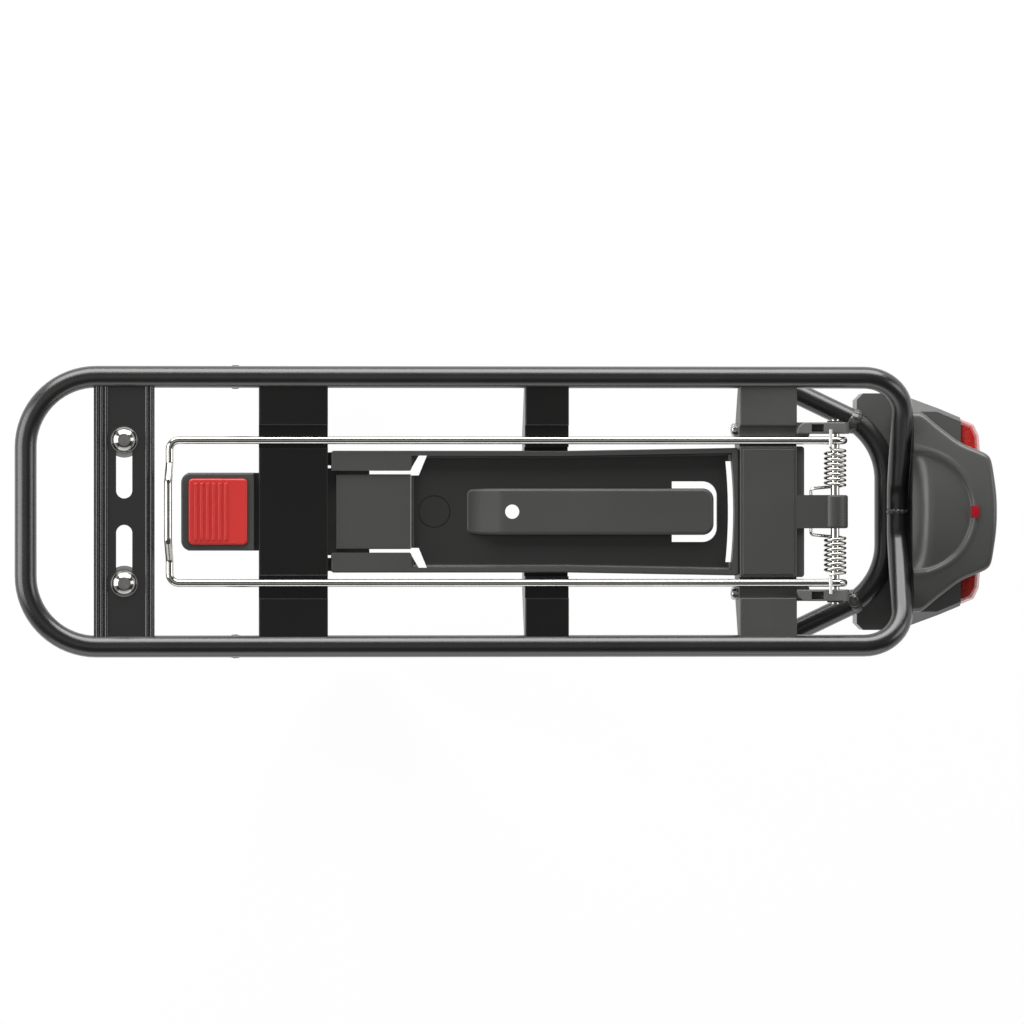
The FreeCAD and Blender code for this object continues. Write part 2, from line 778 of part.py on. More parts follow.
def button_pad():
    """Red press button with finger ribs across its front half."""
    pad = pad_space(0, pad_recess)
    pad = round_edges(pad, pad_edge, lambda edge: level_at(edge, lever_top + pad_proud))
    x = lever_front_x + pad_margin_front + pad_rib_gap
    half = pad_half - pad_rib_margin
    rib_top = lever_top + pad_proud + pad_rib_height
    for index in range(pad_ribs):
        low = x + index * pad_rib_pitch
        rib = block(low, low + pad_rib_width, -half, half, lever_top, rib_top)
        pad = pad.fuse(round_edges(rib, pad_rib_edge, lambda edge: level_at(edge, rib_top)))
    return pad.removeSplitter()


# Saddle, ears, shaft, springs and bail.

def saddle():
    """Cap on the rear plate with a skirt behind it and a knuckle that holds the shaft's middle."""
    x1 = rear_plate_x1 + saddle_skirt
    cap = block(rear_plate_x0, rear_plate_x1, -saddle_half, saddle_half, 0, saddle_margin_top)
    cap = round_edges(cap, saddle_edge, lambda edge: level_at(edge, saddle_margin_top))
    field = block(rear_plate_x0 + saddle_border, rear_plate_x1 - saddle_border,
                  -saddle_half + saddle_border, saddle_half - saddle_border, 0, saddle_top)
    field = break_edges(field, saddle_field / 2, lambda edge: level_at(edge, saddle_top))
    skirt_top = saddle_margin_top - skirt_drop
    skirt = block(rear_plate_x1, x1, -saddle_half, saddle_half, -saddle_skirt_depth, skirt_top)
    skirt = round_edges(skirt, saddle_corner, lambda edge: upright(edge) and edge.BoundBox.XMin > x1 - 1)
    skirt = round_edges(skirt, saddle_edge, lambda edge: level_at(edge, skirt_top)
                        and edge.BoundBox.XMax > rear_plate_x1 + 1)
    arm = block(rear_plate_x1 - 1, shaft_x, -tongue_half, tongue_half, tongue_bottom, saddle_margin_top)
    knuckle = cylinder(knuckle_radius, at(shaft_x, -tongue_half, shaft_z), at(0, 1, 0), 2 * tongue_half)
    knuckle = round_edges(knuckle, knuckle_edge, lambda edge: edge.BoundBox.YLength < 1e-6)
    cap = cap.fuse([field, skirt, arm, knuckle]).removeSplitter()
    bore = cylinder(shaft_radius + fit_gap, at(shaft_x, -reach, shaft_z), at(0, 1, 0), 2 * reach)
    cap = cap.cut(bore)
    for hole in saddle_screw_lines():
        cap = cap.cut(hole)
    return cap


def ear_screw_lines():
    return both_sides(cylinder(ear_screw_radius, at(rear_plate_x0, ear_screw_y, -ear_screw_drop), at(1, 0, 0),
                               rear_plate_length + ear_root_length - 1))


def hinge_ear():
    """Cast arm screwed behind the rear plate, bored for the shaft."""
    x0 = rear_plate_x1
    top = shaft_z + ear_end_radius - ear_top_trim
    arm = block(x0, shaft_x, ear_inner, ear_outer, shaft_z - ear_end_radius, top)
    arm = round_edges(arm, ear_shoulder, lambda edge: upright(edge) and edge.BoundBox.XMin < x0 + 1
                      and edge.BoundBox.YMin > ear_outer - 1)
    end = cylinder(ear_end_radius, at(shaft_x, ear_inner, shaft_z), at(0, 1, 0), ear_outer - ear_inner)
    end = end.common(block(x0, shaft_x + reach, 0, reach, -reach, top))
    root = block(x0, x0 + ear_root_length, ear_root_inner, ear_outer, -ear_root_depth, -ear_root_gap)
    root = round_edges(root, ear_root_corner, lambda edge: upright(edge) and edge.BoundBox.XMin > x0 + 1)
    ear = root.fuse([arm, end]).removeSplitter()
    ear = round_edges(ear, ear_edge, lambda edge: level_at(edge, top))
    pocket = block(x0 + ear_pocket_gap, x0 + ear_pocket_gap + ear_pocket_length, ear_inner + ear_pocket_wall,
                   ear_outer - ear_pocket_wall, top - ear_pocket_depth, reach)
    ear = ear.cut(pocket)
    ear = ear.cut(cylinder(shaft_radius, at(shaft_x, 0, shaft_z), at(0, 1, 0), reach))
    return ear.cut(ear_screw_lines()[0])


def ear_screw():
    start = at(rear_plate_x0, ear_screw_y, -ear_screw_drop)
    head = cylinder(ear_screw_head, start, at(-1, 0, 0), ear_screw_head_height)
    face = start - at(ear_screw_head_height, 0, 0)
    head = round_edges(head, ear_screw_edge, lambda edge: edge.BoundBox.XMax < face.x + 1e-6)
    head = head.cut(hexagon(small_socket_width, face, at(1, 0, 0), small_socket_depth))
    return head.fuse(ear_screw_lines()[0])


def shaft():
    half = ear_outer + clip_thickness + shaft_end
    bar = cylinder(shaft_radius, at(shaft_x, -half, shaft_z), at(0, 1, 0), 2 * half)
    return break_edges(bar, shaft_chamfer, lambda edge: edge.BoundBox.YLength < 1e-6)


def shaft_clip():
    ring = cylinder(clip_radius, at(shaft_x, ear_outer, shaft_z), at(0, 1, 0), clip_thickness)
    return ring.cut(cylinder(shaft_radius, at(shaft_x, ear_outer, shaft_z), at(0, 1, 0), clip_thickness))


def torsion_spring():
    """Right-hand spring: a coil round the shaft, one hook under the saddle's arm, one over the bail."""
    length = spring_outer_y - spring_inner_y
    coil = Part.makeHelix(length / (spring_turns + 0.5), length, spring_radius, 0, True)
    coil.rotate(at(0, 0, 0), at(1, 0, 0), -90)
    coil.rotate(at(0, 0, 0), at(0, 1, 0), 120)
    coil.translate(at(shaft_x, spring_inner_y, shaft_z))
    edges = list(coil.Edges)
    first = edges[0]
    last = edges[-1]
    inner_z = tongue_bottom - part_gap - spring_wire
    outer_z = bail_height + bail_wire + part_gap + spring_wire
    inner = spring_hook(first.valueAt(first.FirstParameter), first.tangentAt(first.FirstParameter) * -1,
                        inner_z, at(0, -spring_inner_hook, 0))
    outer = spring_hook(last.valueAt(last.LastParameter), last.tangentAt(last.LastParameter),
                        outer_z, at(0, bail_half - spring_outer_y + spring_outer_hook, 0))
    path = inner[::-1] + edges + outer
    return swept(path, spring_wire)


def spring_hook(start, along, height, over):
    """A straight run off the coil up to a height, then a bend sideways."""
    corner = start + along * ((height - start.z) / along.z)
    return bent_path([start, corner, corner + over], [spring_hook_bend])


def spring_bail():
    """One wire from eye to eye. The front crossbar has a raised lift for the fingers."""
    half = [
        at(shaft_x, bail_half, bail_height),
        at(bail_front_x, bail_half, bail_height),
        at(bail_front_x, bail_lift_start, bail_height),
        at(bail_front_x - bail_lift_forward, bail_lift_half, bail_height + bail_lift_height),
    ]
    other = [at(point.x, -point.y, point.z) for point in reversed(half)]
    bends = [bail_corner, bail_lift_bend, bail_lift_bend]
    body = bent_path(half + other, bends + bends[::-1])
    eyes = []
    for side in (1, -1):
        turns = [math.radians(90 - bail_eye_turn * share) for share in (0, 0.5, 1)]
        points = [at(shaft_x + eye_radius * math.cos(t), side * bail_half, shaft_z + eye_radius * math.sin(t))
                  for t in turns]
        if side > 0:
            points.reverse()
        eyes.append(Part.Arc(points[0], points[1], points[2]).toShape())
    return swept([eyes[0]] + body + [eyes[1]], bail_wire)


# Tail light.

def light_bracket():
    plate = block(bracket_x, light_x, -bracket_half, bracket_half, bracket_bottom, bracket_top)
    plate = round_edges(plate, bracket_corner, lambda edge: edge.BoundBox.YLength < 1e-6
                        and edge.BoundBox.ZLength < 1e-6)
    for hole in light_screw_lines(light_screw_radius):
        plate = plate.cut(hole)
    return plate


def light_screw_lines(radius):
    start = at(bracket_x, light_screw_spacing / 2, light_screw_z)
    return both_sides(cylinder(radius, start, at(1, 0, 0), bracket_thickness + light_screw_bite))


def light_screws():
    screws = []
    for side, shank in zip((1, -1), light_screw_lines(light_screw_radius)):
        start = at(bracket_x, side * light_screw_spacing / 2, light_screw_z)
        head = cylinder(light_screw_head, start, at(-1, 0, 0), light_screw_head_height)
        socket = hexagon(light_screw_socket, start - at(light_screw_head_height, 0, 0), at(1, 0, 0),
                         light_screw_socket_depth)
        screws.append(head.fuse(shank).cut(socket))
    return screws


def light_housing():
    """Black shell behind the bracket, with a wing each side of it, open to the rear and the top."""
    outline = mirrored_outline([
        (light_x - light_apron_reach, light_apron_inner),
        (light_x - light_wing_reach, light_apron_outer),
        (light_x - light_wing_reach, light_half - light_wing_bevel),
        (light_x - light_wing_reach + light_wing_bevel, light_half),
        (light_x - light_side_gap, light_half),
        (light_x + light_shoulder_gap, light_shoulder_half),
        (light_x1, light_rear_half),
    ])
    shell = prism(outline, light_bottom, light_top)
    inner = bracket_half + part_gap
    shell = shell.cut(block(bracket_x - part_gap, light_x, -inner, inner, -reach, reach))
    shell = shell.cut(block(0, light_x, -light_apron_inner, light_apron_inner, -reach, reach))
    under_apron = light_wing_top - light_apron_thickness
    shell = shell.cut(block(0, light_x, -inner, inner, -reach, under_apron))
    shell = shell.cut(block(0, light_x + part_gap, -reach, reach, light_wing_top, reach))
    shell = shell.cut(block(0, hood_x, -reach, reach, bracket_top, reach))
    # The shoulders slope down from the hood to the wings.
    for side in both_sides(shoulder_cut()):
        shell = shell.cut(side)
    room = mirrored_outline([
        (light_x + light_front_wall, light_rear_half - light_wall - 1),
        (light_x1 + 1, light_rear_half - light_wall - 1),
    ])
    shell = shell.cut(prism(room, light_bottom + light_wall, light_top - light_wall))
    for hole in light_screw_lines(light_screw_radius):
        shell = shell.cut(hole)
    return shell.cut(grommet_line(grommet_radius))


def shoulder_cut():
    outline = [
        at(0, hood_front_half, light_top),
        at(0, reach, light_top - (reach - hood_front_half) * shoulder_slope),
        at(0, reach, reach),
        at(0, hood_front_half, reach),
    ]
    return Part.Face(Part.makePolygon(outline + outline[:1])).extrude(at(reach * 3, 0, 0))


def lens_outline(front, inset):
    x1 = light_x1 + lens_depth
    return mirrored_outline([
        (front, light_rear_half - lens_seam - inset),
        (x1 - lens_corner - inset / 2, light_rear_half - lens_taper - inset),
        (x1 - inset, light_rear_half - lens_bend - inset / 2),
        (x1 + lens_bulge - inset, lens_flat_half),
    ])


def light_lens():
    """Red rear lens, a curved strip that shows at the corners beside the hood."""
    high = light_top - part_gap
    lens = prism(lens_outline(light_x1, 0), light_bottom, high)
    room = prism(lens_outline(light_x1 - 1, lens_wall), light_bottom + lens_wall, high - lens_wall)
    return lens.cut(room)


def hood_outline(inset):
    x1 = light_x + hood_depth
    return mirrored_outline([
        (hood_x + inset, hood_front_half - inset),
        (hood_x + hood_shoulder, hood_front_half - inset),
        (x1 - hood_waist_gap, hood_waist_half - inset),
        (x1 - hood_corner, hood_rear_half - inset),
        (x1 - inset - 2, hood_rear_half - hood_corner),
        (x1 - inset, hood_corner),
    ])


def light_hood():
    """Grey-black cover over the housing with a brow that overhangs the lens."""
    hood = prism(hood_outline(0), light_top, hood_top)
    hood = round_edges(hood, hood_edge, lambda edge: level_at(edge, hood_top))
    hood = hood.cut(prism(hood_outline(light_wall), light_top, hood_top - light_wall))
    return hood.cut(window_space(0))


def window_space(gap):
    x0 = light_x + window_x_gap
    return block(x0 - gap, x0 + window_length + gap, -window_half - gap, window_half + gap,
                 hood_top - window_bite, hood_top + window_proud)


def circuit_board():
    x0 = light_x + light_front_wall + board_gap
    low = light_bottom + light_wall
    high = light_top - light_wall
    return block(x0, x0 + board_thickness, -board_half, board_half, low, high)


def leds():
    x0 = light_x + light_front_wall + board_gap + board_thickness
    middle = (light_bottom + light_top) / 2
    lamps = []
    for index in range(led_count):
        y = (index - (led_count - 1) / 2) * led_pitch
        lamps.append(block(x0, x0 + led_height, y - led_size / 2, y + led_size / 2,
                           middle - led_size / 2, middle + led_size / 2))
    return lamps


def mirror():
    """Bright reflector plate with a window round each lamp."""
    x0 = light_x + light_front_wall + board_gap + board_thickness
    low = light_bottom + light_wall
    high = light_top - light_wall
    plate = block(x0, x0 + mirror_thickness, -board_half, board_half, low, high)
    for lamp in leds():
        box = lamp.BoundBox
        plate = plate.cut(block(x0, x0 + mirror_thickness, box.YMin - part_gap, box.YMax + part_gap,
                                box.ZMin - part_gap, box.ZMax + part_gap))
    return plate


def grommet_line(radius):
    return cylinder(radius, at(light_x + grommet_x_gap, 0, light_bottom), at(0, 0, 1), light_wall)


def grommet():
    """Rubber grommet in the housing's underside where a lighting lead would enter."""
    low = at(light_x + grommet_x_gap, 0, light_bottom - grommet_lip_height)
    lip = cylinder(grommet_lip, low, at(0, 0, 1), grommet_lip_height)
    body = lip.fuse(grommet_line(grommet_radius))
    return body.cut(cylinder(grommet_bore, low, at(0, 0, 1), reach))


os.makedirs("parts", exist_ok=True)

frame = top_frame()
write("top_frame_rod", frame)

lower = lower_rods()
joint_x = rear_x - loop_joint_setback
rear_half = block(joint_x, joint_x + reach, -reach, reach, -reach, reach)
front_half = block(-reach, joint_x, 0, reach, -2 * reach, reach)
right_eyelet, left_eyelet = both_sides(eyelet())
loop = lower.common(rear_half)
right_rear_leg, left_rear_leg = both_sides(lower.common(front_half).cut(right_eyelet))
right_front_leg, left_front_leg = both_sides(front_leg(frame).cut(right_eyelet))
write("rear_loop_rod", loop)
write("right_rear_leg", right_rear_leg)
write("left_rear_leg", left_rear_leg)
write("right_front_leg", right_front_leg)
write("left_front_leg", left_front_leg)
write("right_axle_eyelet", right_eyelet)
write("left_axle_eyelet", left_eyelet)

# Beads: crossbar ends onto the loop, loop to struts, and front legs under the side rods.
joint_face = next(face for face in right_rear_leg.Faces if abs(face.BoundBox.XMin - joint_x) < 1e-6)
joint_way = at(-math.cos(math.radians(strut_angle)), math.sin(math.radians(strut_angle)), 0)
strut_bead = weld_ring(joint_face.CenterOfMass, joint_way, [lower])
leg_way = at(axle_x - leg_end_spread - front_leg_x, 0, -axle_drop)
leg_bead = weld_ring(at(front_leg_x, side_y, 0) + leg_way * (rod_radius / axle_drop), leg_way,
                     [frame, right_front_leg])
bead_x = (rear_x + loop_x) / 2 + crossbar_bead_offset
bead_start = at(bead_x, -crossbar_bead_half, -(crossbar_dip + loop_drop) / 2)
crossbar_bead = cylinder(weld_radius, bead_start, at(0, 1, 0), 2 * crossbar_bead_half).cut(frame).cut(loop)
beads = both_sides(strut_bead) + both_sides(leg_bead) + [crossbar_bead]
write("weld_beads", *beads)

write("front_plate", front_plate(frame))
write("button_plate", button_plate(frame))
write("middle_plate", middle_plate(frame))
write("rear_plate", rear_plate(frame))

for name, side in (("right", 1), ("left", -1)):
    write(name + "_stay_screw", stay_screw(side))
    write(name + "_stay_washer", stay_washer(side))
    write(name + "_stay_nut", stay_nut(side))

write("adapter_tray", adapter_tray())
write("tray_front_screws", *upward_screws(tray_front_points(), tray_bottom, -plate_web + tray_screw_bite))
write("tray_middle_screws", *upward_screws(tray_middle_points(), tray_bottom - plate_web,
                                           tray_bottom + tray_screw_bite))
write("release_lever", release_lever())
write("release_button", button_pad())

write("clamp_saddle", saddle())
write("saddle_screws", *upward_screws(saddle_points(), -plate_web, tray_screw_bite))
right_ear, left_ear = both_sides(hinge_ear())
write("right_hinge_ear", right_ear)
write("left_hinge_ear", left_ear)
write("ear_screws", *both_sides(ear_screw()))
write("bail_shaft", shaft())
write("shaft_clips", *both_sides(shaft_clip()))
right_spring, left_spring = both_sides(torsion_spring())
write("right_torsion_spring", right_spring)
write("left_torsion_spring", left_spring)
write("spring_bail", spring_bail())

write("light_bracket", light_bracket())
write("light_screws", *light_screws())
write("light_housing", light_housing())
write("light_hood", light_hood())
write("light_lens", light_lens())
write("light_circuit_board", circuit_board())
write("light_leds", *leds())
write("light_reflector", mirror())
write("light_sensor_window", window_space(0))
write("light_cable_grommet", grommet())
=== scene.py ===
import math

import bmesh
import bpy
from mathutils import Matrix, Vector


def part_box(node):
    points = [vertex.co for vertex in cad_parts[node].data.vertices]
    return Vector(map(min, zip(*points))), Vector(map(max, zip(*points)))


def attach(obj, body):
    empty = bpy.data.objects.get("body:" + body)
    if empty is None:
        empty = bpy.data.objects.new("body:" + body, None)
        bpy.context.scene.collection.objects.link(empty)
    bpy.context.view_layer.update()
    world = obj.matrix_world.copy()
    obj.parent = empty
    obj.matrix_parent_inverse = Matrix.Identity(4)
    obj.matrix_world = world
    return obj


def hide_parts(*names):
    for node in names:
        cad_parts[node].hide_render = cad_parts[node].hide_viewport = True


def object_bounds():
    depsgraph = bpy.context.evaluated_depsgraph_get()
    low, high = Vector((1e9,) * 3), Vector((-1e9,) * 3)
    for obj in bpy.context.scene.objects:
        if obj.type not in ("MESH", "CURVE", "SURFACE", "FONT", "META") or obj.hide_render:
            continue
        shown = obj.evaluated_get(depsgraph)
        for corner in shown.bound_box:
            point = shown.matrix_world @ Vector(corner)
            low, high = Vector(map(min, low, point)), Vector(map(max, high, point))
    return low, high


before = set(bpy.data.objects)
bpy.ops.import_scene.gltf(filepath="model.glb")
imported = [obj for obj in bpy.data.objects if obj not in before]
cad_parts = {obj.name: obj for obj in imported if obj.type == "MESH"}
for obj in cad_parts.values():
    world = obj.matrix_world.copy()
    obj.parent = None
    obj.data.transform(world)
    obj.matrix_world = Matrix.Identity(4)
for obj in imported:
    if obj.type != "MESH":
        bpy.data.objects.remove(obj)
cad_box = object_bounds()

# ---------------------------------------------------------------------------
# Studio. A white sweep under the rack, a low strip of light on the rider's
# right, weaker ones round the other sides, and a long lens looking down.
# ---------------------------------------------------------------------------

MM = 0.001
rod_radius = 5.0
rail_low, rail_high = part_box("top_frame_rod")
front_x = rail_low.x + rod_radius * MM          # centre-line of the front crossbar
deck_z = rail_high.z - rod_radius * MM          # centre plane of the platform's rods


def on_deck(x, y, z):
    """A place in millimetres: back from the front crossbar, to the right, and up from the rods' centres."""
    return Vector((front_x + x * MM, y * MM, deck_z + z * MM))


def linear(code):
    """An sRGB hex colour as the linear colour that the sockets take."""
    channels = [int(code[i:i + 2], 16) / 255 for i in (1, 3, 5)]
    curved = [c / 12.92 if c <= 0.04045 else ((c + 0.055) / 1.055) ** 2.4 for c in channels]
    return (*curved, 1.0)


def add_node(tree, kind, settings=None, links=None):
    """Adds a shader node with its settings, and links or sets its inputs by name or number."""
    node = tree.nodes.new(kind)
    for key, value in (settings or {}).items():
        setattr(node, key, value)
    for key, value in (links or {}).items():
        if isinstance(value, bpy.types.NodeSocket):
            tree.links.new(value, node.inputs[key])
        else:
            node.inputs[key].default_value = value
    return node


def new_material(name):
    material = bpy.data.materials.new(name)
    material.use_nodes = True
    material.node_tree.nodes.clear()
    return material, material.node_tree


scene = bpy.context.scene
scene.view_settings.view_transform = "Standard"

view_width = 465.5 * MM                         # seen at the deck, across the whole picture
camera_height = 2800
aim = on_deck(220.5, -0.15, 0)
camera_data = bpy.data.cameras.new("camera")
camera_data.sensor_width = 36.0
camera_data.clip_end = 50.0
camera = bpy.data.objects.new("camera", camera_data)
scene.collection.objects.link(camera)
camera.location = on_deck(80.1, 0.3, camera_height)
back = (camera.location - aim).normalized()
across = Vector((0, 1, 0)).cross(back).normalized()
camera.rotation_mode = "QUATERNION"
camera.rotation_quaternion = Matrix((across, back.cross(across), back)).transposed().to_quaternion()
camera_data.lens = camera_data.sensor_width * (camera.location - aim).length / view_width
scene.camera = camera

deck_middle = Vector(((cad_box[0].x + cad_box[1].x) / 2, 0, deck_z))


def softbox(name, place, size, power):
    """A rectangular lamp at a place from the middle of the deck, in metres, and turned to face it."""
    data = bpy.data.lights.new(name, "AREA")
    data.shape = "RECTANGLE"
    data.size, data.size_y = size
    data.energy = power
    lamp = bpy.data.objects.new(name, data)
    scene.collection.objects.link(lamp)
    lamp.location = deck_middle + Vector(place)
    lamp.rotation_mode = "QUATERNION"
    lamp.rotation_quaternion = (lamp.location - deck_middle).to_track_quat("Z", "Y")


softbox("softbox_right", place=(0.0, 1.5, 0.55), size=(2.6, 1.1), power=60)
softbox("softbox_left", place=(0.0, -1.5, 0.35), size=(2.6, 0.9), power=9)
softbox("softbox_front", place=(-1.7, 0.2, 0.8), size=(1.4, 1.5), power=28)
softbox("softbox_rear", place=(1.8, 0.2, 0.9), size=(0.8, 1.0), power=8)
softbox("overhead", place=(-0.6, 0.0, 2.4), size=(1.4, 2.0), power=3)


def straight_rays(tree):
    """The Light Path node, and a socket that is 1 for rays from the camera or through something clear."""
    ray = add_node(tree, "ShaderNodeLightPath")
    straight = add_node(tree, "ShaderNodeMath", {"operation": "MAXIMUM"},
                        {0: ray.outputs["Is Camera Ray"], 1: ray.outputs["Is Transmission Ray"]})
    return ray, straight.outputs[0]


# The room is dim, and the wall behind the rack is white. The wall ends a little above the
# horizon, between the two heights, so gloss that looks further up shows the dim room.
room_strength = 0.08
wall_fade_start, wall_fade_end = 0.10, 0.30
world = bpy.data.worlds.new("studio")
scene.world = world
world.use_nodes = True
tree = world.node_tree
tree.nodes.clear()
room = add_node(tree, "ShaderNodeBackground", links={"Color": linear("#FFFFFF"), "Strength": room_strength})
wall = add_node(tree, "ShaderNodeBackground", links={"Color": linear("#FFFFFF"), "Strength": 1.0})
ray, straight = straight_rays(tree)
way = add_node(tree, "ShaderNodeTexCoord")
height = add_node(tree, "ShaderNodeSeparateXYZ", links={"Vector": way.outputs["Generated"]})
fade = add_node(tree, "ShaderNodeMapRange", links={
    "Value": height.outputs["Z"], "From Min": wall_fade_start, "From Max": wall_fade_end,
    "To Min": 1.0, "To Max": 0.0})
in_gloss = add_node(tree, "ShaderNodeMath", {"operation": "MULTIPLY"},
                    {0: ray.outputs["Is Glossy Ray"], 1: fade.outputs["Result"]})
shown = add_node(tree, "ShaderNodeMath", {"operation": "MAXIMUM"}, {0: straight, 1: in_gloss.outputs[0]})
mixed = add_node(tree, "ShaderNodeMixShader",
                 links={0: shown.outputs[0], 1: room.outputs[0], 2: wall.outputs[0]})
add_node(tree, "ShaderNodeOutputWorld", links={"Surface": mixed.outputs[0]})

# The paper glows white in the same rays. The share that doesn't glow keeps the rack's shadow.
floor_gap = 12.0                                # from the paper up to the eyelets
glow_share = 0.9
sweep_size = 6.0
sweep = bmesh.new()
bmesh.ops.create_grid(sweep, x_segments=1, y_segments=1, size=sweep_size)
bmesh.ops.translate(sweep, verts=sweep.verts, vec=(0, 0, cad_box[0].z - floor_gap * MM))
sweep_mesh = bpy.data.meshes.new("floor")
sweep.to_mesh(sweep_mesh)
sweep.free()
floor = bpy.data.objects.new("floor", sweep_mesh)
scene.collection.objects.link(floor)
white_paper, tree = new_material("white_paper_sweep")
paper = add_node(tree, "ShaderNodeBsdfDiffuse", links={"Color": linear("#EDEDED")})
glow = add_node(tree, "ShaderNodeEmission", links={"Color": linear("#FFFFFF"), "Strength": 1.0})
ray, straight = straight_rays(tree)
shown = add_node(tree, "ShaderNodeMath", {"operation": "MAXIMUM"},
                 {0: straight, 1: ray.outputs["Is Glossy Ray"]})
share = add_node(tree, "ShaderNodeMath", {"operation": "MULTIPLY"}, {0: shown.outputs[0], 1: glow_share})
mixed = add_node(tree, "ShaderNodeMixShader",
                 links={0: share.outputs[0], 1: paper.outputs[0], 2: glow.outputs[0]})
add_node(tree, "ShaderNodeOutputMaterial", links={"Surface": mixed.outputs[0]})
sweep_mesh.materials.append(white_paper)

# ---------------------------------------------------------------------------
# Frame rods and axle eyelets. Aluminium rod, bent, welded and powder coated
# satin black: a fine orange peel, and one soft light line along each rod.
# ---------------------------------------------------------------------------


def grain(tree, size_mm, detail=2.0, stretch=(1, 1, 1)):
    """Noise with features about size_mm across. A small stretch number draws them out on that axis."""
    place = add_node(tree, "ShaderNodeTexCoord")
    scaled = add_node(tree, "ShaderNodeMapping",
                      links={"Vector": place.outputs["Object"], "Scale": stretch})
    return add_node(tree, "ShaderNodeTexNoise", links={
        "Vector": scaled.outputs["Vector"], "Scale": 1 / (size_mm * MM), "Detail": detail})


def finish_of(name, dark, light, patch_mm, rough, relief_mm, height_mm, drawn=(1, 1, 1), sockets=None):
    """A surface whose tone and gloss drift between two close values over patch_mm.

    Its relief has features relief_mm across and height_mm high, drawn out as grain says.
    """
    material, tree = new_material(name)
    patches = grain(tree, patch_mm, detail=4.0)
    tone = add_node(tree, "ShaderNodeValToRGB", links={"Fac": patches.outputs["Fac"]})
    low, high = tone.color_ramp.elements
    low.position, high.position = 0.3, 0.7
    low.color, high.color = linear(dark), linear(light)
    gloss = add_node(tree, "ShaderNodeMapRange",
                     links={"Value": patches.outputs["Fac"], "To Min": rough[0], "To Max": rough[1]})
    relief = grain(tree, relief_mm, stretch=drawn)
    bump = add_node(tree, "ShaderNodeBump", links={
        "Height": relief.outputs["Fac"], "Strength": 1.0, "Distance": height_mm * MM})
    shade = add_node(tree, "ShaderNodeBsdfPrincipled", links={
        "Base Color": tone.outputs["Color"], "Roughness": gloss.outputs["Result"],
        "Normal": bump.outputs["Normal"], **(sockets or {})})
    add_node(tree, "ShaderNodeOutputMaterial", links={"Surface": shade.outputs[0]})
    return material


def give(material, *nodes):
    for name in nodes:
        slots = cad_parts[name].data.materials
        slots.clear()
        slots.append(material)


sides = (("right", 1), ("left", -1))
# Satin powder coat: smooth enough for one soft light line, with a fine orange peel.
powder_coat = finish_of("satin_black_powder_coat", "#181818", "#1E1E1D", patch_mm=30, rough=(0.26, 0.33),
                        relief_mm=0.9, height_mm=0.012,
                        sockets={"Coat Weight": 0.6, "Coat Roughness": 0.25})
give(powder_coat, "top_frame_rod", "rear_loop_rod")
for side, _ in sides:
    give(powder_coat, f"{side}_rear_leg", f"{side}_front_leg", f"{side}_axle_eyelet")

# ---------------------------------------------------------------------------
# Welds. TIG beads round the strut and leg joints, in the crossbar's butt joint
# and under the crossbar: rows of melted dabs under a thin coat, painted a lighter grey as their highlight.
# ---------------------------------------------------------------------------


def new_piece(name, mesh, material, body, sharp_deg=40):
    """Turns a finished bmesh into a piece that rides on a CAD body."""
    data = bpy.data.meshes.new(name)
    mesh.to_mesh(data)
    mesh.free()
    data.materials.append(material)
    data.shade_smooth()
    data.set_sharp_from_angle(angle=math.radians(sharp_deg))
    piece = bpy.data.objects.new(name, data)
    scene.collection.objects.link(piece)
    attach(piece, body)
    return piece


def middle_of(points):
    """The middle of the box round some points."""
    return Vector([(min(p[i] for p in points) + max(p[i] for p in points)) / 2 for i in range(3)])


def weld_dab(mesh, place, turn, size_mm):
    """One melted dab, an ellipsoid with its half sizes in size_mm, turned by a matrix."""
    shape = Matrix.Diagonal((*[half * MM for half in size_mm], 1))
    bmesh.ops.create_uvsphere(mesh, u_segments=14, v_segments=8, radius=1.0,
                              matrix=Matrix.Translation(place) @ turn @ shape)


def weld_ring(mesh, centre, axis, radius_mm, dabs, size_mm):
    """A bead round a joint. Each dab leans a little over the one before it."""
    turn = axis.to_track_quat("Z", "Y").to_matrix().to_4x4()
    lean = Matrix.Rotation(math.radians(14), 4, "X") @ Matrix.Rotation(math.radians(6), 4, "Z")
    for index in range(dabs):
        around = turn @ Matrix.Rotation(math.tau * index / dabs, 4, "Z")
        weld_dab(mesh, centre + around @ Vector((radius_mm * MM, 0, 0)), around @ lean, size_mm)


# A strut meets each cut end of the loop, and a front leg meets each side rod from below.
strut_angle = math.radians(25.5)                # the struts' turn outwards, in plan
leg_top, leg_foot = (94.9, 61.2, -5.0), (152.5, 68.2, -326.0)      # of the right front leg
beads = bmesh.new()
loop_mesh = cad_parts["rear_loop_rod"].data
cut_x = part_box("rear_loop_rod")[0].x + 0.02 * MM
for _, sign in sides:
    joint = middle_of([v.co for v in loop_mesh.vertices if v.co.x < cut_x and v.co.y * sign > 0])
    strut_way = Vector((-math.cos(strut_angle), sign * math.sin(strut_angle), 0))
    weld_ring(beads, joint, strut_way, radius_mm=4.4, dabs=11, size_mm=(1.3, 3.2, 2.9))
    upper, lower = (on_deck(x, sign * y, z) for x, y, z in (leg_top, leg_foot))
    weld_ring(beads, upper, lower - upper, radius_mm=4.6, dabs=18, size_mm=(0.9, 1.5, 1.3))

# The crossbar's two ends are butted, and their weld fills the gap between them.
bar_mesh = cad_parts["top_frame_rod"].data
bar_x, butt_half_gap = on_deck(380, 0, 0).x, 1.3 * MM
butt = middle_of([v.co for v in bar_mesh.vertices if v.co.x > bar_x and abs(v.co.y) < butt_half_gap])
weld_ring(beads, butt, Vector((0, 1, 0)), radius_mm=4.3, dabs=12, size_mm=(0.9, 1.7, 1.4))

